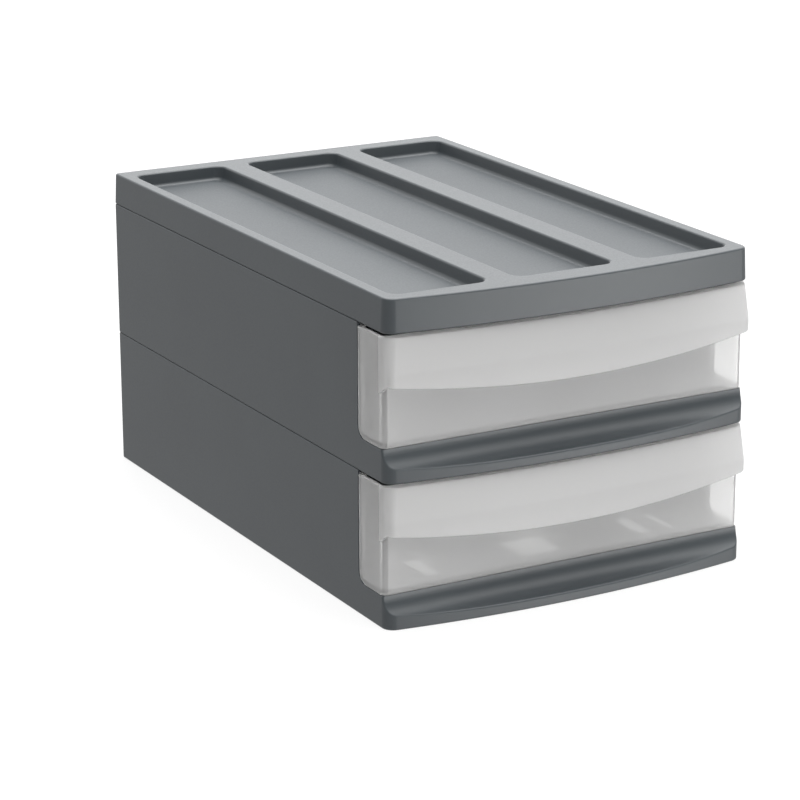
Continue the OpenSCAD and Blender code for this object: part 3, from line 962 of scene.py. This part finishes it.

# %% [markdown]
# ## Dressing the frame
# Each moulding stands in for its CAD node and moves with that node's body.

# %% Nodes, bodies and slots
for piece, node, body, slot in (
    (cover, "top_cover", "stack", "grey_plastic"),
    (upper_housing, "upper_housing", "stack", "grey_plastic"),
    (lower_housing, "lower_housing", "stack", "grey_plastic"),
    (upper_drawer, "upper_drawer", "upper_drawer", "translucent_plastic"),
    (lower_drawer, "lower_drawer", "lower_drawer", "translucent_plastic"),
):
    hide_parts(node)
    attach(piece, body)
    print(f"{piece.name} stands for {node} and rides on {body}")

# %% [markdown]
# ## Floor
# The object stands on a white floor, a wide sheet. To the camera, and through clear plastic, the sheet shows
# for the most part as plain white, and for the rest as matt white that takes the object's soft shadow. It is
# hidden from the rays that light the object, because the room's light below brings a floor of its own.

# %% Shader arithmetic
def shader_maths(tree):
    """A function that adds a Math node to a tree and returns its result."""

    def maths(operation, *values):
        node = tree.nodes.new("ShaderNodeMath")
        node.operation = operation
        for socket, value in zip(node.inputs, values):
            plug(tree, socket, value)
        return node.outputs[0]

    return maths


def seen_directly(tree, maths):
    """1 for rays that come from the camera or through clear plastic, and 0 for all others."""
    path = tree.nodes.new("ShaderNodeLightPath")
    return maths("MAXIMUM", path.outputs["Is Camera Ray"], path.outputs["Is Transmission Ray"])


# %% White floor
floor_half = 60.0
plain_share = 0.8
matt_white, pure_white = (0.9, 0.9, 0.9, 1), (1, 1, 1, 1)
matt_roughness, matt_gloss = 0.9, 0.1


def make_floor_material():
    """Matt white, which shows as plain white for a share of what the camera sees."""
    material, tree, shader, add = new_material("white_floor")
    plug(tree, shader.inputs["Base Color"], matt_white)
    plug(tree, shader.inputs["Roughness"], matt_roughness)
    plug(tree, shader.inputs["Specular IOR Level"], matt_gloss)
    maths = shader_maths(tree)
    share = maths("MULTIPLY", seen_directly(tree, maths), plain_share)
    show_mixed(tree, share, shader, add("ShaderNodeEmission", Color=pure_white, Strength=1.0))
    return material


floor_mesh = bpy.data.meshes.new("floor")
floor_corners = [(x * floor_half, y * floor_half, 0) for x, y in ((-1, -1), (1, -1), (1, 1), (-1, 1))]
floor_mesh.from_pydata(floor_corners, [], [(0, 1, 2, 3)])
floor_mesh.materials.append(make_floor_material())
floor = bpy.data.objects.new("floor", floor_mesh)
floor.visible_glossy = floor.visible_diffuse = floor.visible_shadow = False
bpy.context.scene.collection.objects.link(floor)
floor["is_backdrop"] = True
print(f"floor {2 * floor_half:.0f} m wide, {plain_share:.0%} plain white to the camera")

# %% [markdown]
# ## Light
# The room's light depends on its direction, as in a photo studio. A bright backdrop stands behind the stack,
# with a brighter strip at the horizon. The rest of the room is dim, a light hangs overhead, weaker towards
# the back, and the floor in front on the right is lit. The troughs, the scoops and the clear panels mirror
# these parts. One large soft lamp behind the stack on the right brightens the cover. To the camera, and
# through clear plastic, the room is plain white.

# %% Parts of the room
room_light, backdrop_light, ceiling_light, horizon_light = 0.12, 1.55, 3.0, 2.4
floor_light, lit_floor_light = 0.68, 4.6
backdrop_way, lit_floor_way = (0.486, 0.874), (0.545, -0.839)
backdrop_fade, ceiling_fade = (0.35, 0.75), (0.54, 0.8)
strip_edge, strip_top = (0.75, 0.95), (0.02, 0.16)
overhead_back_fade = (-0.2, 0.3)
lit_floor_edge, ground_edge = (0.87, 0.97), (-0.14, 0.08)
backdrop_loss, overhead_loss = 0.5, 0.7


def make_world():
    """Light by direction (x, y, z), of length 1: parts above the horizon, and a floor below it."""
    world = bpy.data.worlds.new("studio")
    bpy.context.scene.world = world
    world.use_nodes = True
    tree = world.node_tree
    maths = shader_maths(tree)

    def ramp(value, span):
        node = tree.nodes.new("ShaderNodeMapRange")
        node.interpolation_type = "SMOOTHSTEP"
        for key, number in zip(("Value", "From Min", "From Max"), (value, *span)):
            plug(tree, node.inputs[key], number)
        return node.outputs["Result"]

    def along(way):
        return maths("ADD", maths("MULTIPLY", x, way[0]), maths("MULTIPLY", y, way[1]))

    direction = tree.nodes.new("ShaderNodeSeparateXYZ")
    plug(tree, direction.inputs[0], tree.nodes.new("ShaderNodeTexCoord").outputs["Generated"])
    x, y, z = direction.outputs
    away = along(backdrop_way)
    backdrop_share = maths("MULTIPLY_ADD", ramp(z, backdrop_fade), -backdrop_loss, 1.0)
    backdrop = maths("MULTIPLY", maths("MAXIMUM", away, 0.0), backdrop_share)
    strip = maths("MULTIPLY", ramp(away, strip_edge), maths("SUBTRACT", 1.0, ramp(z, strip_top)))
    overhead_share = maths("MULTIPLY_ADD", ramp(y, overhead_back_fade), -overhead_loss, 1.0)
    overhead = maths("MULTIPLY", ramp(z, ceiling_fade), overhead_share)
    above = maths("MULTIPLY_ADD", backdrop, backdrop_light, room_light)
    above = maths("MULTIPLY_ADD", strip, horizon_light, above)
    above = maths("MULTIPLY_ADD", overhead, ceiling_light, above)
    below = maths("MULTIPLY_ADD", ramp(along(lit_floor_way), lit_floor_edge), lit_floor_light, floor_light)
    down = ramp(maths("MULTIPLY", z, -1.0), ground_edge)
    up = maths("SUBTRACT", 1.0, down)
    light = maths("ADD", maths("MULTIPLY", below, down), maths("MULTIPLY", above, up))
    seen = seen_directly(tree, maths)
    strength = maths("ADD", maths("MULTIPLY", light, maths("SUBTRACT", 1.0, seen)), seen)
    back = tree.nodes["Background"]
    plug(tree, back.inputs["Color"], pure_white)
    plug(tree, back.inputs["Strength"], strength)


make_world()
print(f"room light from {room_light} to {lit_floor_light + floor_light:.2f}, by direction")


# %% Back lamp
def area_light(name, place, target, size, power):
    """A soft square lamp at a place, turned towards a target."""
    data = bpy.data.lights.new(name, "AREA")
    data.shape = "SQUARE"
    data.size = size
    data.energy = power
    lamp = bpy.data.objects.new(name, data)
    lamp.location = place
    lamp.rotation_euler = (Vector(target) - Vector(place)).to_track_quat("-Z", "Y").to_euler()
    bpy.context.scene.collection.objects.link(lamp)
    return lamp


lamp = area_light("back_light", place=(0.7, 0.9, 2.6), target=(0, 0, 0.1), size=2.8, power=80)
print(f"{lamp.name}: {lamp.data.size:.1f} m wide, {lamp.data.energy:.0f} W")

# %% [markdown]
# ## Camera
# The camera stands in front on the left, a little above the stack, with a long lens. It is turned about the
# vertical, tipped down, and rolled by a trace.

# %% Camera
lens_mm, sensor_mm = 130.9, 36
camera_place = (-0.90011, -1.59348, 0.63367)
yaw, pitch, roll = 0.5075, 0.2965, -0.0027
camera_data = bpy.data.cameras.new("camera")
camera_data.lens = lens_mm
camera_data.sensor_width = sensor_mm
camera = bpy.data.objects.new("camera", camera_data)
aim = Matrix.Rotation(-yaw, 4, "Z") @ Matrix.Rotation(math.pi / 2 - pitch, 4, "X")
camera.matrix_world = Matrix.Translation(camera_place) @ (aim @ Matrix.Rotation(roll, 4, "Z"))
bpy.context.scene.collection.objects.link(camera)
bpy.context.scene.camera = camera
bpy.context.scene.view_settings.view_transform = "Standard"
print(f"camera looks {math.degrees(yaw):.0f} degrees to the right and {math.degrees(pitch):.0f} degrees down")

# %% Size against the CAD model
dressed_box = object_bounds()
for corner, cad, dressed in zip(("low", "high"), cad_box, dressed_box):
    print(corner, [f"{v / MM:.2f}" for v in cad], [f"{v / MM:.2f}" for v in dressed])
